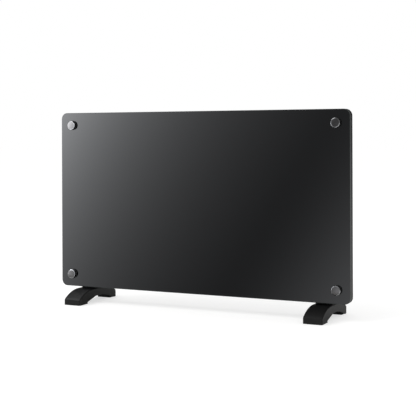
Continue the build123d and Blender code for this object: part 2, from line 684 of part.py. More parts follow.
def element_bracket(side):
    """Folded bracket with two holes for the bushes of both elements."""
    x0, x1 = bracket_plate_x(side)
    sheet = upright_sheet(x0, x1, ELEMENT_Z[0] - BRACKET_MARGIN, ELEMENT_Z[1] + BRACKET_MARGIN, side)
    for z in ELEMENT_Z:
        sheet -= rod_x(x0 - 1, x1 + 1, ELEMENT_Y, z, BUSH_DIAMETER + 2 * FIT)
        screw_x = x0 + side * BRACKET_FLANGE / 2 if side > 0 else x1 - BRACKET_FLANGE / 2
        sheet -= rod_y(HOUSING_INSIDE - 5, HOUSING_BACK, screw_x, z, SCREW_DIAMETER + 2 * FIT)
    return sheet


def control_partition():
    """Folded sheet that keeps the heat away from the controls, with holes for the wires."""
    z0 = HOUSING_BOTTOM + PARTITION_MARGIN
    z1 = HOUSING_TOP - PARTITION_MARGIN
    x0 = PARTITION_X
    sheet = upright_sheet(x0, x0 + SHEET, z0, z1, 1)
    for z in (ELEMENT_Z[0], ELEMENT_Z[1], CUTOUT_Z - CUTOUT_DIAMETER * 1.4):
        sheet -= rod_x(x0 - 1, x0 + SHEET + 1, ELEMENT_Y, z, PARTITION_HOLE)
    for x, z in bracket_screw_places()[4:]:
        sheet -= rod_y(HOUSING_INSIDE - 5, HOUSING_BACK, x, z, SCREW_DIAMETER + 2 * FIT)
    return sheet


def heat_shield():
    """Bright sheet behind the glass, held off the pan by its folded edges."""
    z0 = SHIELD_LOW_Z
    z1 = SHIELD_LOW_Z + SHIELD_HEIGHT
    half = SHIELD_WIDTH / 2
    plate = block(-half, half, PAN_INSIDE + SHIELD_STANDOFF, SHIELD_BACK, z0, z1)
    for low, out in ((z0, z0 - SHIELD_LIP), (z1 - SHIELD_THICKNESS, z1)):
        plate += block(-half, half, PAN_INSIDE, SHIELD_BACK, low, low + SHIELD_THICKNESS)
        plate += block(-half, half, PAN_INSIDE, PAN_INSIDE + SHIELD_THICKNESS, out, out + SHIELD_LIP)
    return plate


def thermal_cutout():
    """Snap-disc cut-out on the partition's hot side: cup, ceramic body, two tabs."""
    cup_x = PARTITION_X - CUTOUT_CUP
    body_x = cup_x - CUTOUT_BODY
    cup = rod_x(cup_x, PARTITION_X, ELEMENT_Y, CUTOUT_Z, CUTOUT_DIAMETER)
    body = rod_x(body_x, cup_x, ELEMENT_Y, CUTOUT_Z, CUTOUT_DIAMETER - CUTOUT_STEP)
    half = CUTOUT_TAB_WIDTH / 2
    tabs = []
    for side in (-1, 1):
        y = ELEMENT_Y + side * CUTOUT_TAB_OFFSET
        y0, y1 = y - TAB_THICKNESS / 2, y + TAB_THICKNESS / 2
        tabs.append(block(body_x - CUTOUT_TAB_LENGTH, body_x, y0, y1, CUTOUT_Z - half, CUTOUT_Z + half))
    return cup + body + tabs


def panel_screw_z():
    """Heights of the two control panel screws."""
    return [PANEL_BOTTOM + PANEL_SCREW_INSET, PANEL_TOP - PANEL_SCREW_INSET]


def cheek_window():
    """Opening in the cheek behind the control panel."""
    half = PANEL_WINDOW_WIDTH / 2
    z0 = PANEL_BOTTOM + PANEL_WINDOW_MARGIN
    z1 = PANEL_TOP - PANEL_WINDOW_MARGIN
    return block(CHEEK_X - 2 * SHEET, CHEEK_X + SHEET, CHEEK_Y - half, CHEEK_Y + half, z0, z1)


def control_panel():
    """Moulded plate over the cheek window, with holes for knob, pilot lens and switches."""
    middle = Pos(CHEEK_Y, (PANEL_TOP + PANEL_BOTTOM) / 2)
    face = RectangleRounded(PANEL_WIDTH, PANEL_LENGTH, PANEL_CORNER)
    plate = run(middle * face, CHEEK_X, PANEL_FACE_X)
    plate = fillet(plate.faces().sort_by(Axis.X)[-1].edges(), PANEL_THICKNESS / 3)
    lip_width = PANEL_WINDOW_WIDTH - 2 * LOOSE
    lip_length = PANEL_LENGTH - 2 * PANEL_WINDOW_MARGIN - 2 * LOOSE
    lip = RectangleRounded(lip_width, lip_length, 1.0)
    lip -= Rectangle(lip_width - 2 * PANEL_LIP_WALL, lip_length - 2 * PANEL_LIP_WALL)
    plate += run(middle * lip, CHEEK_X - 2 * SHEET, CHEEK_X)
    x0 = CHEEK_X - CHEEK_CUT
    x1 = PANEL_FACE_X + 1
    plate -= rod_x(x0, x1, CHEEK_Y, KNOB_Z, THERMOSTAT_BUSH_DIAMETER + 2 * FIT)
    plate -= rod_x(x0, x1, CHEEK_Y, PILOT_Z, PILOT_DIAMETER + 2 * FIT)
    for z in ROCKER_Z:
        hole = Rectangle(ROCKER_BODY_WIDTH + 2 * FIT, ROCKER_BODY_LENGTH + 2 * FIT)
        plate -= run(Pos(CHEEK_Y, z) * hole, x0, x1)
    for z in panel_screw_z():
        plate -= rod_x(x0, x1, CHEEK_Y, z, SCREW_DIAMETER + 2 * FIT)
    return plate


def panel_screw(z):
    """Screw through the control panel into the cheek."""
    head = rod_x(PANEL_FACE_X, PANEL_FACE_X + SCREW_HEAD_HEIGHT, CHEEK_Y, z, SCREW_HEAD_DIAMETER)
    head = chamfer(head.faces().sort_by(Axis.X)[-1].edges(), SCREW_HEAD_HEIGHT / 3)
    return head + rod_x(CHEEK_X - PANEL_SCREW_REACH, PANEL_FACE_X, CHEEK_Y, z, SCREW_DIAMETER - 2 * FIT)


def flat_tab(x_back, z):
    """Push-on tab that stands back from a switch body's rear face."""
    half = TAB_WIDTH / 2
    thick = TAB_THICKNESS / 2
    return block(x_back - TAB_LENGTH, x_back, CHEEK_Y - half, CHEEK_Y + half, z - thick, z + thick)


def thermostat_body():
    """Thermostat block behind the panel, with a bush through it and a pocket for the spindle's collar."""
    half_y = THERMOSTAT_WIDTH / 2
    half_z = THERMOSTAT_LENGTH / 2
    back = CHEEK_X - THERMOSTAT_DEPTH
    nose = PANEL_FACE_X + THERMOSTAT_BUSH_LENGTH
    body = block(back, CHEEK_X, CHEEK_Y - half_y, CHEEK_Y + half_y, KNOB_Z - half_z, KNOB_Z + half_z)
    body += rod_x(CHEEK_X, nose, CHEEK_Y, KNOB_Z, THERMOSTAT_BUSH_DIAMETER)
    body += [flat_tab(back, KNOB_Z + s * THERMOSTAT_LENGTH / 4) for s in (-1, 1)]
    bore_end = CHEEK_X - SPINDLE_DEPTH
    pocket_end = bore_end - SPINDLE_POCKET
    body -= rod_x(bore_end, nose + 1, CHEEK_Y, KNOB_Z, SPINDLE_DIAMETER + 2 * RUNNING)
    return body - rod_x(pocket_end, bore_end, CHEEK_Y, KNOB_Z, SPINDLE_COLLAR + 2 * RUNNING)


def knob_back_x():
    """The knob's rear face, just clear of the panel."""
    return PANEL_FACE_X + LOOSE


def thermostat_spindle():
    """Spindle with the collar that keeps it in the thermostat."""
    tip = knob_back_x() + KNOB_HEIGHT - KNOB_CROWN
    collar_back = CHEEK_X - SPINDLE_DEPTH - SPINDLE_POCKET + SPINDLE_END_GAP
    collar_front = CHEEK_X - SPINDLE_DEPTH - SPINDLE_END_GAP
    spindle = rod_x(collar_back, tip, CHEEK_Y, KNOB_Z, SPINDLE_DIAMETER)
    return spindle + rod_x(collar_back, collar_front, CHEEK_Y, KNOB_Z, SPINDLE_COLLAR)


def thermostat_knob():
    """Round knob with a skirt and a raised finger bar, bored for the spindle."""
    back = knob_back_x()
    skirt = rod_x(back, back + KNOB_SKIRT, CHEEK_Y, KNOB_Z, KNOB_DIAMETER)
    skirt = chamfer(skirt.faces().sort_by(Axis.X)[-1].edges(), KNOB_SKIRT / 3)
    drum_front = back + KNOB_HEIGHT * KNOB_DRUM_SHARE
    drum = rod_x(back, drum_front, CHEEK_Y, KNOB_Z, KNOB_DIAMETER - 2 * KNOB_DRUM_INSET)
    bar = Rectangle(KNOB_GRIP_WIDTH, KNOB_DIAMETER) & Circle(KNOB_DIAMETER / 2 - 1)
    grip = run(Pos(CHEEK_Y, KNOB_Z) * bar, back, back + KNOB_HEIGHT)
    grip = fillet(grip.faces().sort_by(Axis.X)[-1].edges(), KNOB_ROUND)
    knob = skirt + drum + grip
    tip = back + KNOB_HEIGHT - KNOB_CROWN + LOOSE
    knob -= rod_x(back - 1, tip, CHEEK_Y, KNOB_Z, SPINDLE_DIAMETER + RUNNING)
    recess = back + THERMOSTAT_BUSH_LENGTH
    return knob - rod_x(back - 1, recess, CHEEK_Y, KNOB_Z, THERMOSTAT_BUSH_DIAMETER + 2 * LOOSE)


def pilot_lens():
    """Small domed lens with its lamp holder behind it."""
    lens = rod_x(PANEL_FACE_X, PANEL_FACE_X + PILOT_LENS_HEIGHT, CHEEK_Y, PILOT_Z, PILOT_DIAMETER + 2)
    lens = fillet(lens.faces().sort_by(Axis.X)[-1].edges(), PILOT_LENS_ROUND)
    return lens + rod_x(CHEEK_X - PILOT_HOLDER_DEPTH, PANEL_FACE_X, CHEEK_Y, PILOT_Z, PILOT_DIAMETER)


def rocker_housing(z):
    """Snap-in body of one rocker switch, hollow for the rocker, with two tabs behind."""
    frame = RectangleRounded(ROCKER_FRAME_WIDTH, ROCKER_FRAME_LENGTH, ROCKER_WALL)
    body = run(Pos(CHEEK_Y, z) * frame, PANEL_FACE_X, PANEL_FACE_X + ROCKER_FRAME_THICKNESS)
    back = PANEL_FACE_X - ROCKER_BODY_DEPTH
    body += run(Pos(CHEEK_Y, z) * Rectangle(ROCKER_BODY_WIDTH, ROCKER_BODY_LENGTH), back, PANEL_FACE_X)
    well = Rectangle(ROCKER_BODY_WIDTH - 2 * ROCKER_WALL, ROCKER_BODY_LENGTH - 2 * ROCKER_WALL)
    body -= run(Pos(CHEEK_Y, z) * well, back + ROCKER_FLOOR, PANEL_FACE_X + 2 * ROCKER_FRAME_THICKNESS)
    half_pin = ROCKER_BODY_WIDTH / 2 - ROCKER_PIN_WALL
    pin_hole = Pos(ROCKER_PIVOT_X, z) * Circle(ROCKER_PIN / 2 + RUNNING)
    body -= slab(pin_hole, CHEEK_Y - half_pin, CHEEK_Y + half_pin)
    return body + [flat_tab(back, z + s * TAB_SPACING / 2) for s in (-1, 1)]


def rocker(z):
    """One rocker on its pin, tilted to the off side: two sloping halves over a narrow root."""
    half = ROCKER_BODY_LENGTH / 2 - ROCKER_WALL - ROCKER_END_GAP
    root = -ROCKER_ROOT_DEPTH
    outline = Polygon(
        (ROCKER_CROWN, half),
        (ROCKER_CROWN - ROCKER_DIP, 0),
        (ROCKER_CROWN, -half),
        (root, -ROCKER_ROOT_HALF),
        (root, ROCKER_ROOT_HALF),
        align=None,
    )
    half_y = ROCKER_BODY_WIDTH / 2 - ROCKER_WALL - RUNNING * 2
    half_pin = half_y + ROCKER_WALL * 0.6
    body = slab(outline, -half_y, half_y) + rod_y(-half_pin, half_pin, 0, 0, ROCKER_PIN)
    return Pos(ROCKER_PIVOT_X, CHEEK_Y, z) * Rot(0, ROCKER_TILT, 0) * body


def cord_inlet_bush():
    """Snap-in bush that lines the hole where the mains cord would enter."""
    outside = CHEEK_X + INLET_BUSH_RIM
    inside = CHEEK_X - SHEET - INLET_BUSH_RIM
    bush = rod_x(CHEEK_X, outside, CHEEK_Y, INLET_BUSH_Z, INLET_BUSH_FLANGE)
    bush = fillet(bush.faces().sort_by(Axis.X)[-1].edges(), INLET_BUSH_RIM / 3)
    bush += rod_x(inside, CHEEK_X, CHEEK_Y, INLET_BUSH_Z, INLET_BUSH_BARREL)
    bush += rod_x(inside, CHEEK_X - SHEET, CHEEK_Y, INLET_BUSH_Z, INLET_BUSH_BARREL + 2 * INLET_BUSH_SNAP)
    return bush - rod_x(inside - 1, outside + 1, CHEEK_Y, INLET_BUSH_Z, INLET_BUSH_BORE)


def terminal_block():
    """Three-way block on the rear wall, with wire holes and screw wells."""
    way = TERMINAL_WAY_WIDTH
    height = TERMINAL_HEIGHT
    x0 = TERMINAL_BLOCK_X - TERMINAL_WAYS * way / 2
    z0 = TERMINAL_BLOCK_Z - height / 2
    front = HOUSING_INSIDE - TERMINAL_DEPTH
    wire_y = front + TERMINAL_WIRE_DEPTH
    body = block(x0, x0 + TERMINAL_WAYS * way, front, HOUSING_INSIDE, z0, z0 + height)
    for k in range(TERMINAL_WAYS):
        x = x0 + (k + 0.5) * way
        body -= rod_z(z0 - 1, z0 + height + 1, x, wire_y, TERMINAL_WIRE_HOLE)
        for share in (1 / 3, 2 / 3):
            body -= rod_y(front - 1, wire_y, x, z0 + height * share, TERMINAL_SCREW_HOLE)
    half = TERMINAL_GROOVE_WIDTH / 2
    groove_y = front + TERMINAL_GROOVE_DEPTH
    for k in range(1, TERMINAL_WAYS):
        x = x0 + k * way
        body -= block(x - half, x + half, front - 1, groove_y, z0 - 1, z0 + height + 1)
    return body


def tip_pivot():
    """Pivot of the tip-over pendulum, as Y and Z."""
    y = HOUSING_INSIDE - TIP_CASE_DEPTH / 2
    return y, TIP_SWITCH_Z + TIP_CASE_HEIGHT / 2 - TIP_CASE_WALL - TIP_PIVOT_DROP


def tip_switch_case():
    """Open-sided case of the tip-over switch, with the pendulum's pin and its contact block."""
    x0 = TIP_SWITCH_X - TIP_CASE_WIDTH / 2
    x1 = TIP_SWITCH_X + TIP_CASE_WIDTH / 2
    y, pivot_z = tip_pivot()
    middle = Pos(y, TIP_SWITCH_Z)
    case = run(middle * RectangleRounded(TIP_CASE_DEPTH, TIP_CASE_HEIGHT, TIP_CASE_CORNER), x0, x1)
    room = Rectangle(TIP_CASE_DEPTH - 2 * TIP_CASE_WALL, TIP_CASE_HEIGHT - 2 * TIP_CASE_WALL)
    case -= run(middle * room, x0 - 1, x1 - TIP_CASE_WALL)
    case += rod_x(x0 + TIP_SIDE_GAP, x1 - TIP_CASE_WALL, y, pivot_z, TIP_PIN_DIAMETER)
    return case


def tip_pendulum():
    """Weighted pendulum that opens the switch when the heater leans over."""
    y, z = tip_pivot()
    x0 = TIP_SWITCH_X - TIP_CASE_WIDTH / 2 + 2 * TIP_SIDE_GAP
    x1 = TIP_SWITCH_X + TIP_CASE_WIDTH / 2 - TIP_CASE_WALL - TIP_SIDE_GAP
    bob = rod_x(x0, x1, y, z - TIP_ARM, TIP_WEIGHT_DIAMETER)
    half = TIP_ARM_WIDTH / 2
    arm = block(x0 + half, x1 - half, y - half, y + half, z - TIP_ARM, z)
    hub = rod_x(x0, x1, y, z, TIP_PIN_DIAMETER + 2 * TIP_HUB_WALL)
    return bob + arm + hub - rod_x(x0 - 1, x1 + 1, y, z, TIP_PIN_DIAMETER + 2 * RUNNING)


def foot_profile(shrink=0.0):
    """Half-shell profile of a foot in Y and Z: square toes, arched top, arched underside."""
    end = FOOT_LENGTH / 2 - shrink
    low = PAD_PROUD
    top = FOOT_HEIGHT - shrink
    shoulder = FOOT_END_HEIGHT + FOOT_BEVEL - shrink * 0.6
    knee = end - FOOT_BEVEL
    flat = FOOT_TOP_FLAT / 2
    drop = top - shoulder
    reach = knee - flat
    radius = (reach * reach + drop * drop) / (2 * drop)
    half_turn = math.asin(reach / radius) / 2
    bulge = (flat + radius * math.sin(half_turn), top - radius * (1 - math.cos(half_turn)))
    lines = [
        Line((-end, low), (-end, FOOT_END_HEIGHT - shrink * 0.4)),
        Line((-end, FOOT_END_HEIGHT - shrink * 0.4), (-knee, shoulder)),
        ThreePointArc((-knee, shoulder), (-bulge[0], bulge[1]), (-flat, top)),
        Line((-flat, top), (flat, top)),
        ThreePointArc((flat, top), bulge, (knee, shoulder)),
        Line((knee, shoulder), (end, FOOT_END_HEIGHT - shrink * 0.4)),
        Line((end, FOOT_END_HEIGHT - shrink * 0.4), (end, low)),
    ]
    return lines, end, low


def foot_outline():
    """Side profile of a foot in Y and Z."""
    lines, end, low = foot_profile()
    front_heel = -end + FOOT_FRONT_STANCE
    rear_heel = end - FOOT_REAR_STANCE
    arch = FOOT_ARCH_HEIGHT
    half = FOOT_ARCH_FLAT / 2
    lines += [
        Line((end, low), (rear_heel, low)),
        ThreePointArc((rear_heel, low), ((rear_heel * 1.15 + half) / 2.15, arch * 0.62), (half, arch)),
        Line((half, arch), (-half, arch)),
        Line((-half, arch), (front_heel, FOOT_STEP)),
        Line((front_heel, FOOT_STEP), (front_heel, low)),
        Line((front_heel, low), (-end, low)),
    ]
    return make_face(Wire(Curve() + lines))


def foot_hollow():
    """Underside hollow between the foot's walls, as a profile in Y and Z."""
    lines, end, low = foot_profile(FOOT_WALL)
    lines += [
        Line((end, low), (end, -1)),
        Line((end, -1), (-end, -1)),
        Line((-end, -1), (-end, low)),
    ]
    return make_face(Wire(Curve() + lines))


def pad_spans():
    """Front and rear Y limits of the two floor pads."""
    end = FOOT_LENGTH / 2 - FOOT_WALL - FIT
    return [(-end, -end + PAD_FRONT_LENGTH), (end - PAD_REAR_LENGTH, end)]


def foot_shell():
    """Outside of a foot: the profile drawn across its width, rounded at the rear, with bevelled edges."""
    half = FOOT_WIDTH / 2
    body = run(foot_outline(), -half, half)
    uprights = [e for e in body.edges().filter_by(Axis.Z) if e.center().Y > FOOT_LENGTH / 2 - 1]
    body = fillet(uprights, FOOT_REAR_ROUND)
    upper = body.faces().sort_by(Axis.X)[0].edges() + body.faces().sort_by(Axis.X)[-1].edges()
    arch = FOOT_LENGTH / 2 - FOOT_FRONT_STANCE - 1
    upper = [e for e in upper if e.center().Z > FOOT_ARCH_HEIGHT + 1 or -e.center().Y > arch]
    upper = [e for e in upper if e.center().Z > FOOT_STEP + 1]
    return chamfer(upper, FOOT_EDGE)


def foot(x):
    """Moulded foot: arched shell, neck under the housing, ribs, screw bosses, pad seats."""
    body = foot_shell()
    inner = FOOT_WIDTH / 2 - FOOT_WALL
    room = run(foot_hollow(), -inner, inner)
    roof = FOOT_ARCH_HEIGHT + FOOT_ROOF
    rib = FOOT_RIB / 2
    keep = []
    for y0, y1 in pad_spans():
        y0 -= FOOT_PAD_WALL
        y1 += FOOT_PAD_WALL
        keep.append(block(-inner, inner, y0, y1, PAD_THICKNESS, FOOT_HEIGHT))
    keep += [rod_z(FOOT_SCREW_SEAT, FOOT_HEIGHT, 0, y, FOOT_BOSS) for y in FOOT_SCREW_Y]
    for y in (FOOT_SCREW_Y[0] - FOOT_BOSS, NECK_Y, FOOT_SCREW_Y[1] + FOOT_BOSS):
        keep.append(block(-inner, inner, y - rib, y + rib, roof, FOOT_HEIGHT))
    keep.append(block(-rib, rib, -FOOT_LENGTH / 4, FOOT_LENGTH / 4, roof, FOOT_HEIGHT))
    body -= room - keep
    neck = RectangleRounded(FOOT_WIDTH - 2 * FOOT_EDGE, NECK_BACK - NECK_FRONT, NECK_CORNER)
    neck_low = FOOT_HEIGHT - FOOT_WALL / 2
    body += Pos(0, NECK_Y, neck_low) * extrude(neck, amount=HOUSING_BOTTOM - neck_low)
    for y in FOOT_SCREW_Y:
        body -= rod_z(0, FOOT_SCREW_SEAT, 0, y, FOOT_SCREW_HEAD + 2 * LOOSE)
        body -= rod_z(0, HOUSING_BOTTOM + 1, 0, y, FOOT_SCREW_DIAMETER + 2 * LOOSE)
    return Pos(x, 0, 0) * body


def foot_pad(x, span):
    """Rubber pad under one end of a foot."""
    half = FOOT_WIDTH / 2 - PAD_INSET
    pad = block(x - half, x + half, *span, 0, PAD_THICKNESS)
    return fillet(pad.edges().filter_by(Axis.Z), PAD_CORNER)


def foot_screw(x, y):
    """Screw up through the foot and the housing's floor into the nut plate."""
    top = HOUSING_BOTTOM + SHEET + NUT_PLATE_THICKNESS + SCREW_END
    head = rod_z(FOOT_SCREW_SEAT - FOOT_SCREW_HEAD_HEIGHT, FOOT_SCREW_SEAT, x, y, FOOT_SCREW_HEAD)
    head = chamfer(head.faces().sort_by(Axis.Z)[0].edges(), FOOT_SCREW_HEAD_HEIGHT / 5)
    return head + rod_z(FOOT_SCREW_SEAT, top, x, y, FOOT_SCREW_DIAMETER)


def foot_nut_plate(x):
    """Tapped plate on the housing's floor above a foot."""
    z0 = HOUSING_BOTTOM + SHEET
    top = z0 + NUT_PLATE_THICKNESS
    length = FOOT_SCREW_SPACING + 2 * FOOT_SCREW_DIAMETER
    outline = RectangleRounded(NUT_PLATE_WIDTH, length, PAD_CORNER)
    plate = Pos(x, NECK_Y, z0) * extrude(outline, amount=NUT_PLATE_THICKNESS)
    for y in FOOT_SCREW_Y:
        plate -= rod_z(z0 - 1, top + 1, x, y, FOOT_SCREW_DIAMETER + 2 * FIT)
    return plate


def write(name, shape):
    """Write one node's file."""
    export_step(shape, f"parts/{name}.step")


def group(pieces):
    """Separate like solids that share a node."""
    return Compound(children=list(pieces))


def main():
    os.makedirs("parts", exist_ok=True)
    clamps = clamp_places()
    write("front_glass", front_glass())
    write("glass_caps", group(glass_cap(x, z) for x, z in clamps))
    write("cap_washers", group(cap_washer(x, z) for x, z in clamps))
    write("glass_spacers", group(glass_spacer(x, z) for x, z in clamps))
    write("glass_studs", group(glass_stud(x, z) for x, z in clamps))
    write("stud_nuts", group(stud_nut(x, z) for x, z in clamps))
    write("front_pan", front_pan())
    write("pan_posts", group(pan_post(x, z) for x, z in post_places()))
    write("rear_housing", rear_housing())
    write("housing_end", housing_end())
    write("rear_cover", rear_cover())
    screws = [screw_y(x, z, FLANGE_BACK, FLANGE_BACK - PAN_INSIDE - 1) for x, z in post_places()]
    screws += [screw_y(x, z, HOUSING_BACK, 6.0) for x, z in bracket_screw_places()]
    write("housing_screws", group(screws))
    write("outlet_grille", outlet_grille())
    write("inlet_grille", inlet_grille())
    write("heat_shield", heat_shield())
    for name, z in zip(("lower", "upper"), ELEMENT_Z):
        write(f"element_{name}", element_body(z))
        write(f"element_rod_{name}", element_rod(z))
    write("element_bushes", group(element_bush(side, z) for side in (-1, 1) for z in ELEMENT_Z))
    write("element_bracket_left", element_bracket(-1))
    write("element_bracket_right", element_bracket(1))
    write("control_partition", control_partition())
    write("thermal_cutout", thermal_cutout())
    write("control_panel", control_panel())
    write("panel_screws", group(panel_screw(z) for z in panel_screw_z()))
    write("thermostat_body", thermostat_body())
    write("thermostat_spindle", thermostat_spindle())
    write("thermostat_knob", thermostat_knob())
    write("pilot_lens", pilot_lens())
    for name, z in zip(("high", "low"), ROCKER_Z):
        write(f"rocker_housing_{name}", rocker_housing(z))
        write(f"rocker_{name}", rocker(z))
    write("cord_inlet_bush", cord_inlet_bush())
    write("terminal_block", terminal_block())
    write("tip_switch_case", tip_switch_case())
    write("tip_pendulum", tip_pendulum())
    for name, x in zip(("left", "right"), FOOT_X):
        write(f"foot_{name}", foot(x))
    write("foot_pads", group(foot_pad(x, span) for x in FOOT_X for span in pad_spans()))
    write("foot_screws", group(foot_screw(x, y) for x in FOOT_X for y in FOOT_SCREW_Y))
    write("foot_nut_plates", group(foot_nut_plate(x) for x in FOOT_X))


main()
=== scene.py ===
"""Looks of a glass panel convector: finishes for every piece, a pale studio, and the camera."""
import json
import math

import bmesh
import bpy
import numpy as np
from mathutils import Matrix, Vector
from mathutils.bvhtree import BVHTree

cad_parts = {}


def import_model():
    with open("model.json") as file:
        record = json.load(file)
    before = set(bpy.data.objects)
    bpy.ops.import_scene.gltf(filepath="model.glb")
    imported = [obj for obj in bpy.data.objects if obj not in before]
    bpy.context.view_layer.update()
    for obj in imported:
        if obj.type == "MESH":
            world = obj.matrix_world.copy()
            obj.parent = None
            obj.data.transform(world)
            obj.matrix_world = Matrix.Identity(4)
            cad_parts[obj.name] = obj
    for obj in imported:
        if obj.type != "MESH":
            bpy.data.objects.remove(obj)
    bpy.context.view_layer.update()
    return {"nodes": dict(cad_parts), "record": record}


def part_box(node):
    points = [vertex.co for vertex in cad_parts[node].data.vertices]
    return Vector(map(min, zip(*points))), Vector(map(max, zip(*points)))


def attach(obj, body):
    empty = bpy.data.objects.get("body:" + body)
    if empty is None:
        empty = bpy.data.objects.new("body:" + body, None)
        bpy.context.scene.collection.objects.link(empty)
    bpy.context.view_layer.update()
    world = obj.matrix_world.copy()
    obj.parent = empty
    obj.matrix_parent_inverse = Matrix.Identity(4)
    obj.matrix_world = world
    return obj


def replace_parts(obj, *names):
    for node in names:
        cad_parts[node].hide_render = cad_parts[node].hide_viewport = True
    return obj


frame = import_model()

bl_info = {
    "name": "Glass panel convector",
    "version": (1, 0, 0),
    "blender": (4, 5, 0),
    "location": "View3D > Sidebar > Convector",
    "description": "Finishes and studio for a glass panel convector",
    "category": "Object",
}

MM = 0.001
PIXELS = 416
NODES = frame["nodes"]
GLASS_LOW, GLASS_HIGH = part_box("front_glass")
CAPS_LOW, CAPS_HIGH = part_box("glass_caps")
WASHERS_LOW, WASHERS_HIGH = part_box("cap_washers")
KNOB_LOW, KNOB_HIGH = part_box("thermostat_knob")
CAP_RADIUS = 22.5 * MM / 2
CAP_CHAMFER = 1.3 * MM
CAP_CHAMFER_DEPTH = 1.7 * MM
CAP_DOME = 0.9 * MM
WASHER_RADIUS = 24.5 * MM / 2
ROUND = 0.35 * MM
TURNED_SEGMENTS = 128
FACE_TILT = 0.93
CHAMFER_TILT = 0.35
MERGE = 0.002 * MM
NUMBER_PLACE = 0.6
NUMBER_SIZE = 0.21
INDEX_GAP = 2.6 * MM
INDEX_SIZE = 4.0 * MM
MARK_SIZE = 4.2 * MM
MARK_PLACE = 0.28
PRINT_LIFT = 0.02 * MM
PRINT_DEPTH = 0.06 * MM

BODY_NODES = frame["record"]["behaviour"]["bodies"]
NODE_SLOTS = {part["node"]: part["material_slot"] for part in frame["record"]["subparts"]}


def body_of(node):
    """Name of the body that carries a CAD node."""
    return next(name for name, nodes in BODY_NODES.items() if node in nodes)


# Node helpers

def srgb(hex_colour):
    """Linear colour of an sRGB hex value such as #1A1B1C."""
    text = hex_colour.lstrip("#")
    parts = [int(text[k:k + 2], 16) / 255 for k in (0, 2, 4)]
    linear = [p / 12.92 if p <= 0.04045 else ((p + 0.055) / 1.055) ** 2.4 for p in parts]
    return (*linear, 1.0)


def add(tree, kind, links=(), **settings):
    """Add a node of a kind, set its properties and sockets by name, and link (socket, output) pairs."""
    node = tree.nodes.new(kind)
    for name, value in settings.items():
        if hasattr(node, name):
            setattr(node, name, value)
        else:
            node.inputs[name.replace("_", " ")].default_value = value
    for socket, output in links:
        tree.links.new(output, node.inputs[socket])
    return node


def maths(tree, operation, first, second):
    """Math node on two values, each a number or another node's output."""
    node = tree.nodes.new("ShaderNodeMath")
    node.operation = operation
    for socket, value in zip(node.inputs, (first, second)):
        if isinstance(value, (int, float)):
            socket.default_value = value
        else:
            tree.links.new(value, socket)
    return node.outputs[0]


def blank(name):
    """New material with only an output node, and its tree and output."""
    material = bpy.data.materials.new(name)
    material.use_nodes = True
    tree = material.node_tree
    tree.nodes.clear()
    return material, tree, tree.nodes.new("ShaderNodeOutputMaterial")


def grain(tree, size_mm, stretch=(1, 1, 1), detail=3.0, uv=False):
    """Noise with features of a size in mm, stretched along the axes that have a stretch over 1."""
    place = tree.nodes.new("ShaderNodeTexCoord").outputs["UV" if uv else "Object"]
    unit = 1.0 if uv else MM
    scale = [1 / (size_mm * unit * s) for s in stretch]
    mapping = add(tree, "ShaderNodeMapping", [("Vector", place)], Scale=scale)
    return add(tree, "ShaderNodeTexNoise", [("Vector", mapping.outputs[0])], Scale=1.0, Detail=detail)


def finish(name, colour, rough, size_mm=1.0, height_mm=0.0, spread=0.06, shade=0.0, stretch=(1, 1, 1),
           uv=False, **settings):
    """Principled material whose noise varies the roughness by spread and the colour by shade, with a bump."""
    material, tree, out = blank(name)
    noise = grain(tree, size_mm, stretch, uv=uv)
    shader = add(tree, "ShaderNodeBsdfPrincipled", **settings)
    tree.links.new(shader.outputs[0], out.inputs["Surface"])
    value = noise.outputs["Fac"]
    spans = add(tree, "ShaderNodeMapRange", [("Value", value)], From_Min=0.3, From_Max=0.7,
                To_Min=rough - spread, To_Max=rough + spread)
    tree.links.new(spans.outputs[0], shader.inputs["Roughness"])
    base = srgb(colour)
    if shade:
        ramp = add(tree, "ShaderNodeValToRGB", [("Fac", value)])
        ramp.color_ramp.elements[0].color = (*[c * (1 - shade) for c in base[:3]], 1)
        ramp.color_ramp.elements[1].color = (*[min(c * (1 + shade), 1) for c in base[:3]], 1)
        tree.links.new(ramp.outputs["Color"], shader.inputs["Base Color"])
    else:
        shader.inputs["Base Color"].default_value = base
    if height_mm:
        bump = add(tree, "ShaderNodeBump", [("Height", value)], Distance=height_mm * MM, Strength=1.0)
        tree.links.new(bump.outputs[0], shader.inputs["Normal"])
    return material


# Materials

def black_glass():
    """Toughened glass, black behind: the eye gets a mirror-smooth face over a deep black."""
    return finish("Black toughened glass", "#050506", 0.03, size_mm=40, spread=0.008, IOR=1.5)


def glass_edge():
    """Ground edge of the glass: a finely matted, grey line where the light catches the bevel."""
    return finish("Ground glass edge", "#343938", 0.3, size_mm=0.8, height_mm=0.01, shade=0.12, IOR=1.5)


def cap_face():
    """Turned cap face: fine rings round the middle that soften the reflection."""
    return finish("Turned dark nickel cap", "#5A5959", 0.24, size_mm=0.35, height_mm=0.004, spread=0.05,
                  stretch=(60, 1, 1), uv=True, Metallic=1.0)


def cap_chamfer():
    """Polished chamfer of the cap: a bright crescent toward the light, black away from it."""
    return finish("Polished nickel chamfer", "#A2A3A5", 0.18, size_mm=0.5, spread=0.04, uv=True, Metallic=1.0)


def cap_side():
    """Near-black side of the cap: with its mirror image in the glass it reads as a deep black crescent."""
    return finish("Near-black cap side", "#040404", 0.6, size_mm=0.5, height_mm=0.01,
                  Specular_IOR_Level=0.2, IOR=1.4)


def black_rubber():
    """Rubber of washers and pads: soft, with no glare, slightly dusty."""
    return finish("Black rubber", "#191919", 0.78, size_mm=0.7, height_mm=0.03, shade=0.2, IOR=1.5)


def clear_nylon():
    """Natural nylon spacers: milky, letting a little light through."""
    return finish("Natural nylon", "#D8D4C4", 0.42, size_mm=1.5,
                  Subsurface_Weight=0.3, Subsurface_Scale=0.002)


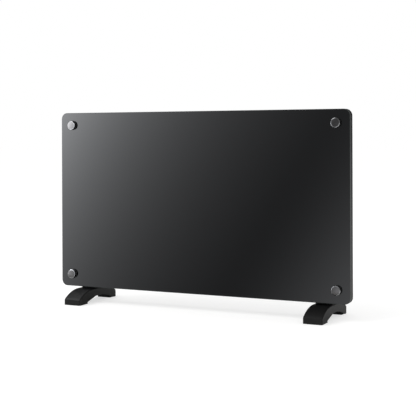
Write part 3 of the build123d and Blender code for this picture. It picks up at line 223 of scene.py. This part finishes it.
def zinc_steel():
    """Zinc-plated steel: bright grey with faint cloudy crystals."""
    return finish("Zinc-plated steel", "#A9ABAE", 0.36, size_mm=3.0, spread=0.1, shade=0.12, Metallic=1.0)


def black_enamel():
    """Satin powder coat on the pan and housing: dark, with a slight orange peel."""
    return finish("Black powder coat", "#111112", 0.42, size_mm=0.9, height_mm=0.018,
                  shade=0.1, Specular_IOR_Level=0.25, IOR=1.5)


def black_screw():
    """Blackened screws: darker and smoother than the coat around them."""
    return finish("Blackened steel screw", "#2B2A29", 0.38, size_mm=0.6, spread=0.08, shade=0.2, Metallic=0.8)


def black_plastic():
    """Finely textured moulded plastic of grilles and control panel."""
    return finish("Textured black plastic", "#1C1C1E", 0.5, size_mm=0.45, height_mm=0.02,
                  shade=0.12, IOR=1.48)


def bright_aluminium():
    """Rolled aluminium sheet behind the glass: bright, with streaks along the roll."""
    return finish("Rolled aluminium", "#C9CACC", 0.28, size_mm=0.6, height_mm=0.004, shade=0.08,
                  stretch=(1, 1, 90), Metallic=1.0)


def element_aluminium():
    """Extruded element vanes: satin grey with drawing lines along the length."""
    return finish("Extruded aluminium", "#A6A7A9", 0.4, size_mm=0.5, height_mm=0.006, shade=0.1,
                  stretch=(120, 1, 1), Metallic=1.0)


def rod_steel():
    """Sheath steel of rods and pendulum: straw-brown from heat."""
    return finish("Heat-tinted steel", "#7C7368", 0.38, size_mm=2.0, spread=0.08, shade=0.25, Metallic=1.0)


def white_ceramic():
    """Unglazed steatite bushes: chalky with tiny pits."""
    return finish("Unglazed steatite", "#E4DECD", 0.72, size_mm=0.5, height_mm=0.03, shade=0.05, IOR=1.5)


def cream_plastic():
    """Thermoset switch bodies: cream, half matt, faintly mottled."""
    return finish("Cream thermoset", "#CFC5A8", 0.46, size_mm=1.2, height_mm=0.01, shade=0.06, IOR=1.5)


def knob_plastic():
    """Knob and rockers: satin black moulding, smoother than the panel."""
    return finish("Satin black moulding", "#1F1F20", 0.3, size_mm=0.7, height_mm=0.005, shade=0.08, IOR=1.49)


def red_lens():
    """Translucent red pilot lens that glows where light passes through."""
    return finish("Red pilot lens", "#B51410", 0.14, size_mm=2.0, spread=0.03,
                  Transmission_Weight=0.5, IOR=1.49)


def black_nylon():
    """Nylon inlet bush: waxy black."""
    return finish("Black nylon", "#202021", 0.4, size_mm=0.8, height_mm=0.008, shade=0.1, IOR=1.53)


def foot_plastic():
    """Moulded feet: fine spark-eroded texture that keeps the highlights broad."""
    return finish("Textured foot moulding", "#161616", 0.42, size_mm=0.5, height_mm=0.02,
                  shade=0.12, Specular_IOR_Level=0.25, IOR=1.4)


def white_print():
    """Printed numbers and marks: flat off-white ink."""
    return finish("Off-white print", "#D9D8D2", 0.6, size_mm=0.5, shade=0.05, IOR=1.5)


SLOT_MATERIALS = {
    "black_glass": black_glass, "cap_metal": cap_face, "black_rubber": black_rubber,
    "clear_nylon": clear_nylon, "zinc_steel": zinc_steel, "black_enamel": black_enamel,
    "black_screw": black_screw, "black_plastic": black_plastic, "bright_aluminium": bright_aluminium,
    "element_aluminium": element_aluminium, "rod_steel": rod_steel, "white_ceramic": white_ceramic,
    "cream_plastic": cream_plastic, "knob_plastic": knob_plastic, "red_lens": red_lens,
    "black_nylon": black_nylon, "foot_plastic": foot_plastic,
}
MADE = {}


def material_of(slot):
    """The one material of a slot, made the first time it is asked for."""
    if slot not in MADE:
        MADE[slot] = SLOT_MATERIALS[slot]()
    return MADE[slot]


# Mesh helpers

def place(obj, node, body=None):
    """Link an object and let it ride on a node's body."""
    bpy.context.scene.collection.objects.link(obj)
    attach(obj, body or body_of(node))
    return obj


def smooth_copy(node, angle_deg, materials=None):
    """Merged copy of a CAD node, smooth up to an angle, that takes the node's place."""
    work = bmesh.new()
    work.from_mesh(NODES[node].data)
    bmesh.ops.remove_doubles(work, verts=work.verts, dist=MERGE)
    mesh = bpy.data.meshes.new(f"{node}_smooth")
    mesh.from_pydata([v.co[:] for v in work.verts], [], [[v.index for v in f.verts] for f in work.faces])
    work.free()
    for material in materials or [material_of(NODE_SLOTS[node])]:
        mesh.materials.append(material)
    mesh.shade_smooth()
    mesh.set_sharp_from_angle(angle=math.radians(angle_deg))
    obj = place(bpy.data.objects.new(mesh.name, mesh), node)
    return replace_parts(obj, node)


def rounded(points, radius, steps=5):
    """Open profile whose inner corners become arcs of a radius, as points in order."""
    points = np.asarray(points, float)
    made = [points[:1]]
    for before, corner, after in zip(points, points[1:], points[2:]):
        start = corner + (before - corner) / np.linalg.norm(before - corner) * radius
        end = corner + (after - corner) / np.linalg.norm(after - corner) * radius
        t = np.linspace(0, 1, steps)[:, None]
        made.append((1 - t) ** 2 * start + 2 * t * (1 - t) * corner + t ** 2 * end)
    return np.vstack([*made, points[-1:]])


def turned(name, profile, centres, front_slot=None):
    """Closed surfaces of revolution about Y: (r, y) of the profile swept round each centre.

    A point is (x + r cos a, y, z + r sin a) for the angle a; the profile starts and ends on the axis.
    UV is the share of a turn and the distance along the profile in mm.
    """
    ring = profile[1:-1]
    rows, segments = len(ring), TURNED_SEGMENTS
    angle = np.arange(segments) * 2 * math.pi / segments
    sweep = np.stack([ring[:, :1] * np.cos(angle), np.repeat(ring[:, 1:], segments, 1),
                      ring[:, :1] * np.sin(angle)], -1).reshape(-1, 3)
    poles = np.array([[0, profile[0, 1], 0], [0, profile[-1, 1], 0]])
    one = np.vstack([sweep, poles])
    here = np.arange(rows * segments).reshape(rows, segments)
    beside = np.roll(here, -1, 1)
    quads = np.stack([here[:-1], here[1:], beside[1:], beside[:-1]], -1).reshape(-1, 4)
    first, last = rows * segments, rows * segments + 1
    fans = [(first, a, b) for a, b in zip(here[0], beside[0])]
    fans += [(last, b, a) for a, b in zip(here[-1], beside[-1])]
    faces = [tuple(q) for q in quads.tolist()] + fans
    points, all_faces = [], []
    for k, (x, z) in enumerate(centres):
        points.append(one + np.array([x, 0, z]))
        all_faces += [tuple(int(v) + k * len(one) for v in face) for face in faces]
    mesh = bpy.data.meshes.new(name)
    mesh.from_pydata(np.vstack(points).tolist(), [], all_faces)
    along = np.concatenate([[0], np.cumsum(np.linalg.norm(np.diff(profile, axis=0), axis=1))]) / MM
    corner = np.empty(len(mesh.loops), np.int32)
    mesh.loops.foreach_get("vertex_index", corner)
    local = corner % len(one)
    v = np.where(local < first, along[np.minimum(local // segments, rows - 1) + 1],
                 np.where(local == first, along[0], along[-1]))
    u = np.where(local < first, (local % segments) / segments, 0.5)
    mesh.uv_layers.new(name="around").data.foreach_set("uv", np.stack([u, v], -1).astype(np.float32).ravel())
    mesh.shade_smooth()
    mesh.set_sharp_from_angle(angle=math.radians(35))
    return bpy.data.objects.new(name, mesh)


def cap_centres():
    """X and Z of the four clamps, from the box round the caps."""
    return [(x, z) for x in (CAPS_LOW.x + CAP_RADIUS, CAPS_HIGH.x - CAP_RADIUS)
            for z in (CAPS_LOW.z + CAP_RADIUS, CAPS_HIGH.z - CAP_RADIUS)]


def clamp_caps():
    """Four turned caps: a slightly domed brushed face, a polished chamfer, a straight side."""
    front, back = CAPS_LOW.y, GLASS_LOW.y - (WASHERS_HIGH.y - WASHERS_LOW.y)
    flat = CAP_RADIUS - CAP_CHAMFER
    dome = [(flat * t, front + CAP_DOME * t * t) for t in (0, 0.2, 0.4, 0.6, 0.8)]
    rim = [(flat, front + CAP_DOME), (CAP_RADIUS, front + CAP_CHAMFER_DEPTH), (CAP_RADIUS, back), (0, back)]
    profile = rounded(dome + rim, ROUND)
    obj = turned("caps", profile, cap_centres())
    obj.data.materials.append(material_of("cap_metal"))
    obj.data.materials.append(cap_chamfer())
    obj.data.materials.append(cap_side())
    facing = -np.array([p.normal[1] for p in obj.data.polygons])
    kind = np.where(facing > FACE_TILT, 0, np.where(facing > CHAMFER_TILT, 1, 2))
    obj.data.polygons.foreach_set("material_index", kind.astype(np.int32))
    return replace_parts(place(obj, "glass_caps"), "glass_caps")


def clamp_washers():
    """Rubber washers between caps and glass, rounded at the rim."""
    front, back = GLASS_LOW.y - (WASHERS_HIGH.y - WASHERS_LOW.y), GLASS_LOW.y
    profile = rounded([(0, front), (WASHER_RADIUS, front), (WASHER_RADIUS, back), (0, back)], ROUND)
    obj = turned("washers", profile, cap_centres())
    obj.data.materials.append(material_of("black_rubber"))
    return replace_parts(place(obj, "cap_washers"), "cap_washers")


def glass_panel():
    """Front glass with a polished face and a ground bevel and edge."""
    obj = smooth_copy("front_glass", 20, [material_of("black_glass"), glass_edge()])
    normals = np.array([p.normal[:] for p in obj.data.polygons])
    obj.data.polygons.foreach_set("material_index", (np.abs(normals[:, 1]) < 0.9).astype(np.int32))
    return obj


def lettering(name, marks, node, body, ink):
    """Printed marks laid on a node's surface seen from +X: each has a text, middle (y, z), size and turn."""
    mesh_in = NODES[node].data
    tree = BVHTree.FromPolygons([v.co for v in mesh_in.vertices], [p.vertices for p in mesh_in.polygons])
    work = bmesh.new()
    for text, (y, z), size, turn in marks:
        curve = bpy.data.curves.new(name, "FONT")
        curve.body = text
        curve.size = size
        curve.align_x = "CENTER"
        curve.align_y = "CENTER"
        curve.extrude = PRINT_DEPTH / 2
        curve.resolution_u = 4
        holder = bpy.data.objects.new(name, curve)
        flat = bpy.data.meshes.new_from_object(holder)
        cos, sin = math.cos(turn), math.sin(turn)
        for vertex in flat.vertices:
            a, b, deep = vertex.co
            py, pz = y + a * cos - b * sin, z + a * sin + b * cos
            hit = tree.ray_cast(Vector((1, py, pz)), Vector((-1, 0, 0)))[0]
            if hit is None:
                raise RuntimeError(f"{name}: the mark {text} isn't over {node}")
            vertex.co = (hit.x + PRINT_LIFT + PRINT_DEPTH / 2 + deep, py, pz)
        work.from_mesh(flat)
        bpy.data.objects.remove(holder)
        bpy.data.curves.remove(curve)
        bpy.data.meshes.remove(flat)
    bmesh.ops.remove_doubles(work, verts=work.verts, dist=0.001 * MM)
    bmesh.ops.recalc_face_normals(work, faces=work.faces)
    mesh = bpy.data.meshes.new(name)
    work.to_mesh(mesh)
    work.free()
    mesh.materials.append(ink)
    obj = bpy.data.objects.new(name, mesh)
    bpy.context.scene.collection.objects.link(obj)
    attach(obj, body)
    return obj


def control_marks():
    """Numbers on the knob's skirt, the index line above it, and I and O on each rocker."""
    ink = white_print()
    centre_y, centre_z = (KNOB_LOW.y + KNOB_HIGH.y) / 2, (KNOB_LOW.z + KNOB_HIGH.z) / 2
    radius = (KNOB_HIGH.z - KNOB_LOW.z) / 2
    numbers = []
    for k, degrees in enumerate((140, 180, 220, 320, 360, 400)):
        angle = math.radians(degrees)
        where = (centre_y + NUMBER_PLACE * radius * math.cos(angle),
                 centre_z + NUMBER_PLACE * radius * math.sin(angle))
        numbers.append((str(k + 1), where, NUMBER_SIZE * radius, angle - math.pi / 2))
    lettering("dial_numbers", numbers, "thermostat_knob", "knob", ink)
    index = [("I", (centre_y, centre_z + radius + INDEX_GAP), INDEX_SIZE, 0.0)]
    lettering("dial_index", index, "control_panel", "heater", ink)
    for name in ("high", "low"):
        low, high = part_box(f"rocker_{name}")
        middle = (low + high) / 2
        reach = (high.z - low.z) * MARK_PLACE
        marks = [("I", (middle.y, middle.z + reach), MARK_SIZE, 0.0),
                 ("O", (middle.y, middle.z - reach), MARK_SIZE, 0.0)]
        lettering(f"rocker_{name}_marks", marks, f"rocker_{name}", f"rocker_{name}_body", ink)


# Stage

CAMERA_PLACE = (1.10893, -2.27101, 0.42176)
CAMERA_AZIMUTH = 25.662
CAMERA_ROLL = -0.19
LENS_MM = 88.2
AXIS_PIXEL = (207.9, 138.8)
CARD_DISTANCE = 0.2
GLASS_REFLECTANCE = 0.0435
CARD_LEFT, CARD_RIGHT, CARD_LOW, CARD_HIGH = -0.85, 0.4, 0.004, 0.6
UPPER_GLOW = 0.2793
UPPER_ACROSS = 0.2385
UPPER_DOWN = 0.3406
LOWER_GLOW = 0.1642
LOWER_LEAN = 0.6416
LOWER_START = 0.7176
LOWER_END = 1.6176
LEAST_GLOW = 0.0018
MOST_GLOW = 0.34
CARD_TINT = (0.98, 1.0, 1.03, 1)
FLOOR_PLAIN = 0.45
FLOOR_GLOW = 1.4
FLOOR_HALF = 30.0
WORLD_LIGHT = 0.75
WORLD_MIRRORED = 0.22


def camera():
    """The camera that the photograph gives: level, a little to the right, with the axis above the middle."""
    turn, roll = math.radians(CAMERA_AZIMUTH), math.radians(CAMERA_ROLL)
    ahead = Vector((-math.sin(turn), math.cos(turn), 0))
    right = Vector((math.cos(turn), math.sin(turn), 0))
    up = Vector((0, 0, 1))
    across = math.cos(roll) * right + math.sin(roll) * up
    upward = -math.sin(roll) * right + math.cos(roll) * up
    data = bpy.data.cameras.new("camera")
    data.lens = LENS_MM
    data.sensor_width = 36
    data.shift_x = (PIXELS / 2 - AXIS_PIXEL[0]) / PIXELS
    data.shift_y = (AXIS_PIXEL[1] - PIXELS / 2) / PIXELS
    obj = bpy.data.objects.new("camera", data)
    basis = Matrix((across, upward, -ahead)).transposed().to_4x4()
    obj.matrix_world = Matrix.Translation(Vector(CAMERA_PLACE)) @ basis
    bpy.context.scene.collection.objects.link(obj)
    bpy.context.scene.camera = obj
    return obj


def card_shader():
    """Glow of the card that the glass mirrors: bright at the upper left, dark on a slope, grey lower right.

    X and Z on the card are first brought back to the place on the glass that shows them.
    The glow is A exp(-x/w - z/h) + B s(x + k z) + C; s is a smooth step, x is from the left, z from the top.
    """
    material, tree, out = blank("Graded reflection card")
    place_on_card = tree.nodes.new("ShaderNodeTexCoord").outputs["Object"]
    where = add(tree, "ShaderNodeSeparateXYZ", [("Vector", place_on_card)])
    depth = GLASS_LOW.y - CAMERA_PLACE[1]
    ratio = CARD_DISTANCE / depth
    x = maths(tree, "DIVIDE", maths(tree, "ADD", where.outputs["X"], ratio * CAMERA_PLACE[0]), 1 + ratio)
    z = maths(tree, "DIVIDE", maths(tree, "ADD", where.outputs["Z"], ratio * CAMERA_PLACE[2]), 1 + ratio)
    from_left = maths(tree, "SUBTRACT", x, GLASS_LOW.x)
    from_top = maths(tree, "SUBTRACT", GLASS_HIGH.z, z)
    across, down = maths(tree, "DIVIDE", from_left, UPPER_ACROSS), maths(tree, "DIVIDE", from_top, UPPER_DOWN)
    fall = maths(tree, "MULTIPLY", maths(tree, "ADD", across, down), -1.0)
    lit = maths(tree, "MULTIPLY", maths(tree, "POWER", math.e, fall), UPPER_GLOW)
    slope = maths(tree, "ADD", from_left, maths(tree, "MULTIPLY", from_top, LOWER_LEAN))
    step = add(tree, "ShaderNodeMapRange", [("Value", slope)], interpolation_type="SMOOTHSTEP",
               From_Min=LOWER_START, From_Max=LOWER_END, To_Min=0.0, To_Max=LOWER_GLOW)
    summed = maths(tree, "ADD", maths(tree, "ADD", lit, step.outputs["Result"]), LEAST_GLOW)
    total = maths(tree, "MINIMUM", summed, MOST_GLOW)
    strength = maths(tree, "DIVIDE", total, GLASS_REFLECTANCE)
    glow = add(tree, "ShaderNodeEmission", [("Strength", strength)], Color=CARD_TINT)
    tree.links.new(glow.outputs[0], out.inputs["Surface"])
    return material


def reflection_card():
    """Upright card close in front of the glass, seen only in reflections."""
    y = GLASS_LOW.y - CARD_DISTANCE
    corners = [(CARD_LEFT, y, CARD_LOW), (CARD_LEFT, y, CARD_HIGH),
               (CARD_RIGHT, y, CARD_HIGH), (CARD_RIGHT, y, CARD_LOW)]
    mesh = bpy.data.meshes.new("reflection_card")
    mesh.from_pydata(corners, [], [(0, 1, 2, 3)])
    mesh.materials.append(card_shader())
    card = bpy.data.objects.new("reflection_card", mesh)
    bpy.context.scene.collection.objects.link(card)
    for kind in ("camera", "diffuse", "shadow", "transmission", "volume_scatter"):
        setattr(card, f"visible_{kind}", False)
    return card


def floor():
    """Pale floor: half its own shading, so that contact shadows show, and half plain white to the camera."""
    material, tree, out = blank("Pale studio floor")
    path = tree.nodes.new("ShaderNodeLightPath")
    seen = add(tree, "ShaderNodeMath", [(0, path.outputs["Is Camera Ray"])], operation="MULTIPLY")
    seen.inputs[1].default_value = FLOOR_PLAIN
    matt = add(tree, "ShaderNodeBsdfDiffuse", Color=srgb("#F4F4F3"))
    plain = add(tree, "ShaderNodeEmission", Color=srgb("#FFFFFF"), Strength=FLOOR_GLOW)
    mixed = add(tree, "ShaderNodeMixShader",
                [(0, seen.outputs[0]), (1, matt.outputs[0]), (2, plain.outputs[0])])
    tree.links.new(mixed.outputs[0], out.inputs["Surface"])
    half = FLOOR_HALF
    mesh = bpy.data.meshes.new("floor")
    corners = [(-half, -half, 0), (half, -half, 0), (half, half, 0), (-half, half, 0)]
    mesh.from_pydata(corners, [], [(0, 1, 2, 3)])
    mesh.materials.append(material)
    obj = bpy.data.objects.new("floor", mesh)
    bpy.context.scene.collection.objects.link(obj)
    return obj


def soft_light(name, where, aim, size, power):
    """Square area light at a place, aimed at a point."""
    data = bpy.data.lights.new(name, "AREA")
    data.size = size
    data.energy = power
    obj = bpy.data.objects.new(name, data)
    obj.location = where
    obj.rotation_euler = (Vector(aim) - Vector(where)).to_track_quat("-Z", "Y").to_euler()
    bpy.context.scene.collection.objects.link(obj)
    return obj


def world():
    """Even white surroundings: full white to the eye, softer as a light, dim in reflections."""
    made = bpy.data.worlds.new("studio")
    made.use_nodes = True
    tree = made.node_tree
    tree.nodes.clear()
    out = tree.nodes.new("ShaderNodeOutputWorld")
    path = tree.nodes.new("ShaderNodeLightPath")
    seen = maths(tree, "MULTIPLY", path.outputs["Is Camera Ray"], 1 - WORLD_LIGHT)
    mirrored = maths(tree, "MULTIPLY", path.outputs["Is Glossy Ray"], WORLD_MIRRORED - WORLD_LIGHT)
    strength = maths(tree, "ADD", maths(tree, "ADD", seen, mirrored), WORLD_LIGHT)
    glow = add(tree, "ShaderNodeBackground", [("Strength", strength)], Color=(1, 1, 1, 1))
    tree.links.new(glow.outputs[0], out.inputs["Surface"])
    bpy.context.scene.world = made


# Add-on classes

class ConvectorSettings(bpy.types.PropertyGroup):
    """Settings that the operators share."""
    smooth_angle: bpy.props.FloatProperty(
        name="Smooth angle", description="Edges flatter than this are shaded smooth",
        default=math.radians(28), subtype="ANGLE", unit="ROTATION")
    key_power: bpy.props.FloatProperty(
        name="Key light", description="Power of the light at the upper left", default=26.0, unit="POWER")
    fill_power: bpy.props.FloatProperty(
        name="Fill light", description="Power of the light at the right", default=1.2, unit="POWER")
    top_power: bpy.props.FloatProperty(
        name="Top light", description="Power of the light overhead at the left", default=14.0, unit="POWER")


class CONVECTOR_OT_front(bpy.types.Operator):
    """Build the glass, its clamps and their washers"""
    bl_idname = "convector.front"
    bl_label = "Glass and clamps"

    def execute(self, context):
        glass_panel()
        clamp_caps()
        clamp_washers()
        return {"FINISHED"}


class CONVECTOR_OT_body(bpy.types.Operator):
    """Smooth and finish every remaining piece of the heater"""
    bl_idname = "convector.body"
    bl_label = "Body, inside and feet"

    def execute(self, context):
        angle = math.degrees(context.scene.convector.smooth_angle)
        for node, obj in NODES.items():
            obj.data.materials.clear()
            obj.data.materials.append(material_of(NODE_SLOTS[node]))
            if node not in ("front_glass", "glass_caps", "cap_washers"):
                smooth_copy(node, angle)
        return {"FINISHED"}


class CONVECTOR_OT_marks(bpy.types.Operator):
    """Print the numbers on the knob and the marks on the rockers"""
    bl_idname = "convector.marks"
    bl_label = "Dial and rocker marks"

    def execute(self, context):
        control_marks()
        return {"FINISHED"}


class CONVECTOR_OT_stage(bpy.types.Operator):
    """Set up the floor, lights, reflection card and camera"""
    bl_idname = "convector.stage"
    bl_label = "Studio"

    def execute(self, context):
        settings = context.scene.convector
        world()
        key = soft_light("key", (-1.6, -2.2, 2.4), (0, 0, 0.25), 1.8, settings.key_power)
        fill = soft_light("fill", (2.4, -1.2, 1.6), (0, 0, 0.2), 1.6, settings.fill_power)
        top = soft_light("top", (-1.3, -0.35, 2.1), (-0.1, -0.05, 0), 1.8, settings.top_power)
        floor()
        reflection_card()
        camera()
        context.scene.view_settings.view_transform = "Standard"
        return {"FINISHED"}


class CONVECTOR_PT_panel(bpy.types.Panel):
    """Buttons for every operator, in the order in which they run"""
    bl_idname = "CONVECTOR_PT_panel"
    bl_label = "Glass panel convector"
    bl_space_type = "VIEW_3D"
    bl_region_type = "UI"
    bl_category = "Convector"

    def draw(self, context):
        settings = context.scene.convector
        for name in ("smooth_angle", "key_power", "fill_power", "top_power"):
            self.layout.prop(settings, name)
        for operator in OPERATORS:
            self.layout.operator(operator.bl_idname)


OPERATORS = (CONVECTOR_OT_front, CONVECTOR_OT_body, CONVECTOR_OT_marks, CONVECTOR_OT_stage)


def register():
    """Register the classes and hang the settings on the scene."""
    for cls in (ConvectorSettings, *OPERATORS, CONVECTOR_PT_panel):
        bpy.utils.register_class(cls)
    bpy.types.Scene.convector = bpy.props.PointerProperty(type=ConvectorSettings)


def unregister():
    """Undo register, last first."""
    del bpy.types.Scene.convector
    for cls in (CONVECTOR_PT_panel, *reversed(OPERATORS), ConvectorSettings):
        bpy.utils.unregister_class(cls)


def main():
    """Run every operator in order."""
    register()
    for operator in OPERATORS:
        group, name = operator.bl_idname.split(".")
        getattr(getattr(bpy.ops, group), name)()


if __name__ == "__main__":
    main()
